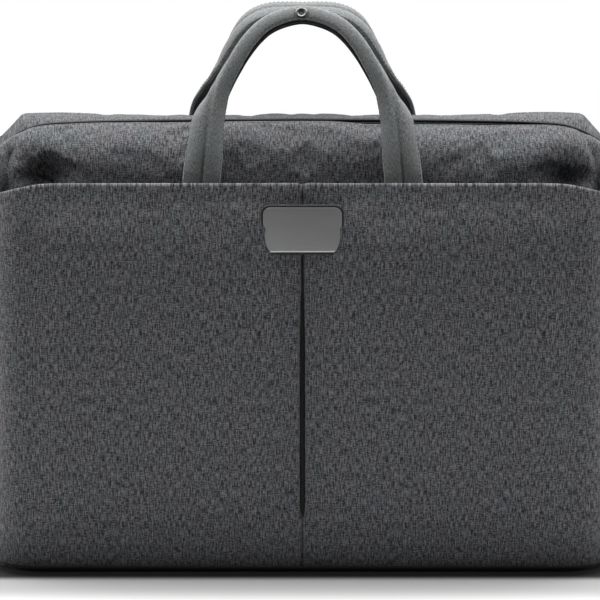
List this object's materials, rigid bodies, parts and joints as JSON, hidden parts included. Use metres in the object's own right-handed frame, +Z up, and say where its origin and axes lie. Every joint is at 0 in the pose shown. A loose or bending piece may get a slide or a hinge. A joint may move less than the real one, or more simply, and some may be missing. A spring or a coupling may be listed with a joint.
{
  "type": "messenger bag",
  "caption": "Soft rectangular bag with a zipped main compartment, front and rear pockets, a metal nameplate and two padded carrying handles that snap shut at the grip.",
  "frame": {"origin": "on the ground under the middle of the bag", "axes": "+X to the right of someone facing the front pocket, +Y from the front to the rear, +Z up"},
  "size_m": [0.4386, 0.1372, 0.3722],
  "materials": {
    "charcoal_cloth": "melange charcoal plain weave, coarse, matt",
    "handle_cloth": "finer grey weave over padding, matt",
    "dark_cloth": "dense dark weave, matt",
    "lining_cloth": "smooth grey lining",
    "zip_tape": "ribbed dark zip tape",
    "zip_plastic": "dark coil",
    "black_plastic": "satin black",
    "board": "stiffening board",
    "brushed_plate": "brushed along its length",
    "gunmetal": "dark nickel"
  },
  "bodies": {
    "bag": {"front_wall": "charcoal_cloth", "rear_wall": "charcoal_cloth", "side_gusset_left": "charcoal_cloth", "side_gusset_right": "charcoal_cloth", "base_panel": "dark_cloth", "base_board": "board", "front_pocket_panel_left": "charcoal_cloth", "front_pocket_panel_right": "charcoal_cloth", "rear_pocket_panel": "charcoal_cloth", "nameplate": "brushed_plate", "nameplate_bezel": "black_plastic", "nameplate_washer_left": "gunmetal", "nameplate_washer_right": "gunmetal", "slot_zip_tape": "zip_tape", "slot_zip_teeth": "zip_plastic", "front_handle_anchor_left": "handle_cloth", "front_handle_anchor_right": "handle_cloth", "rear_handle_anchor_left": "handle_cloth", "rear_handle_anchor_right": "handle_cloth", "main_lining": "lining_cloth", "laptop_divider": "lining_cloth", "laptop_strap": "zip_tape", "organiser_pocket": "lining_cloth", "side_zip_left": "zip_plastic", "side_zip_right": "zip_plastic", "d_ring_tab_left": "dark_cloth", "d_ring_tab_right": "dark_cloth"},
    "front_mouth": {"front_mouth_panel": "charcoal_cloth", "front_mouth_cheek_left": "charcoal_cloth", "front_mouth_cheek_right": "charcoal_cloth", "front_zip_teeth": "zip_plastic", "front_zip_tape": "zip_tape"},
    "rear_mouth": {"rear_mouth_panel": "charcoal_cloth", "rear_mouth_cheek_left": "charcoal_cloth", "rear_mouth_cheek_right": "charcoal_cloth", "rear_zip_teeth": "zip_plastic", "rear_zip_tape": "zip_tape"},
    "front_handle": {"front_handle_strap": "handle_cloth", "front_handle_lining": "lining_cloth"},
    "rear_handle": {"rear_handle_strap": "handle_cloth", "rear_handle_lining": "lining_cloth"},
    "zip_slider_left": {"zip_slider_left": "gunmetal"},
    "zip_slider_right": {"zip_slider_right": "gunmetal"},
    "zip_puller_left": {"zip_puller_left": "gunmetal"},
    "zip_puller_right": {"zip_puller_right": "gunmetal"},
    "slot_slider": {"slot_zip_slider": "gunmetal", "slot_zip_puller": "zip_plastic"},
    "d_ring_left": {"d_ring_left": "gunmetal"},
    "d_ring_right": {"d_ring_right": "gunmetal"}
  },
  "joints": [
    {"name": "front_mouth_fold", "type": "hinge", "parent": "bag", "child": "front_mouth", "pos_m": [0, -0.038, 0.252], "axis": [1, 0, 0], "range_deg": [0, 35]},
    {"name": "rear_mouth_fold", "type": "hinge", "parent": "bag", "child": "rear_mouth", "pos_m": [0, 0.054, 0.252], "axis": [-1, 0, 0], "range_deg": [0, 35]},
    {"name": "front_handle_swing", "type": "hinge", "parent": "front_mouth", "child": "front_handle", "pos_m": [0, -0.042, 0.2512], "axis": [-1, 0, 0], "range_deg": [-70, 3]},
    {"name": "rear_handle_swing", "type": "hinge", "parent": "rear_mouth", "child": "rear_handle", "pos_m": [0, 0.058, 0.2512], "axis": [1, 0, 0], "range_deg": [-80, 3]},
    {"name": "slot_zip_slide", "type": "slide", "parent": "bag", "child": "slot_slider", "axis": [0, 0, -1], "range_m": [0, 0.17]},
    {"name": "zip_slide_left", "type": "slide", "parent": "bag", "child": "zip_slider_left", "axis": [0, 0, -1], "range_m": [-0.03, 0]},
    {"name": "puller_swing_left", "type": "hinge", "parent": "zip_slider_left", "child": "zip_puller_left", "pos_m": [-0.21485, 0, 0.2161], "axis": [0, 1, 0], "range_deg": [0, 80]},
    {"name": "d_ring_swing_left", "type": "hinge", "parent": "bag", "child": "d_ring_left", "pos_m": [-0.2155, 0, 0.172], "axis": [0, 1, 0], "range_deg": [-6, 160]},
    {"name": "zip_slide_right", "type": "slide", "parent": "bag", "child": "zip_slider_right", "axis": [0, 0, -1], "range_m": [-0.03, 0]},
    {"name": "puller_swing_right", "type": "hinge", "parent": "zip_slider_right", "child": "zip_puller_right", "pos_m": [0.21485, 0, 0.2161], "axis": [0, -1, 0], "range_deg": [0, 80]},
    {"name": "d_ring_swing_right", "type": "hinge", "parent": "bag", "child": "d_ring_right", "pos_m": [0.2155, 0, 0.172], "axis": [0, -1, 0], "range_deg": [-6, 160]}
  ]
}
